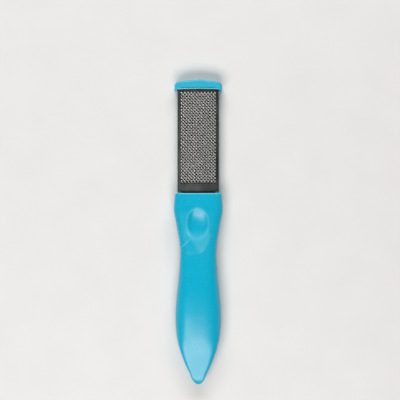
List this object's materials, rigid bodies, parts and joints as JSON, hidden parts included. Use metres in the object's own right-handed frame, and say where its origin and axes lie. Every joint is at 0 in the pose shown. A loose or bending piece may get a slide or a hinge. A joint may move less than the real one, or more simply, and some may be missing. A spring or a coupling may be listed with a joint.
{
  "type": "foot file",
  "caption": "Double-sided foot file: arched metal rasp plate on the front, emery sheet on the back, end cap, and a contoured handle with a thumb rest.",
  "frame": {"origin": "centre of the bounding box in plan, at the underside, with the file lying on its back", "axes": "+Y from the tail of the handle to the end cap, +Z out of the side with the rasp plate, +X to the right seen from that side with the cap up"},
  "size_m": [0.0288, 0.18, 0.0145],
  "materials": {
    "handle_plastic": "satin moulded ABS, cyan",
    "carrier_plastic": "moulded ABS, cyan",
    "plate_steel": "plated, punched steel sheet",
    "cap_plastic": "satin moulded ABS, cyan",
    "emery": "fine abrasive grit on paper",
    "tape": "double-sided tape"
  },
  "bodies": {
    "root": {"handle_front": "handle_plastic", "handle_back": "handle_plastic", "rasp_core": "carrier_plastic", "rasp_plate": "plate_steel", "end_cap": "cap_plastic", "emery_sheet": "emery", "adhesive_tape": "tape"}
  },
  "joints": []
}
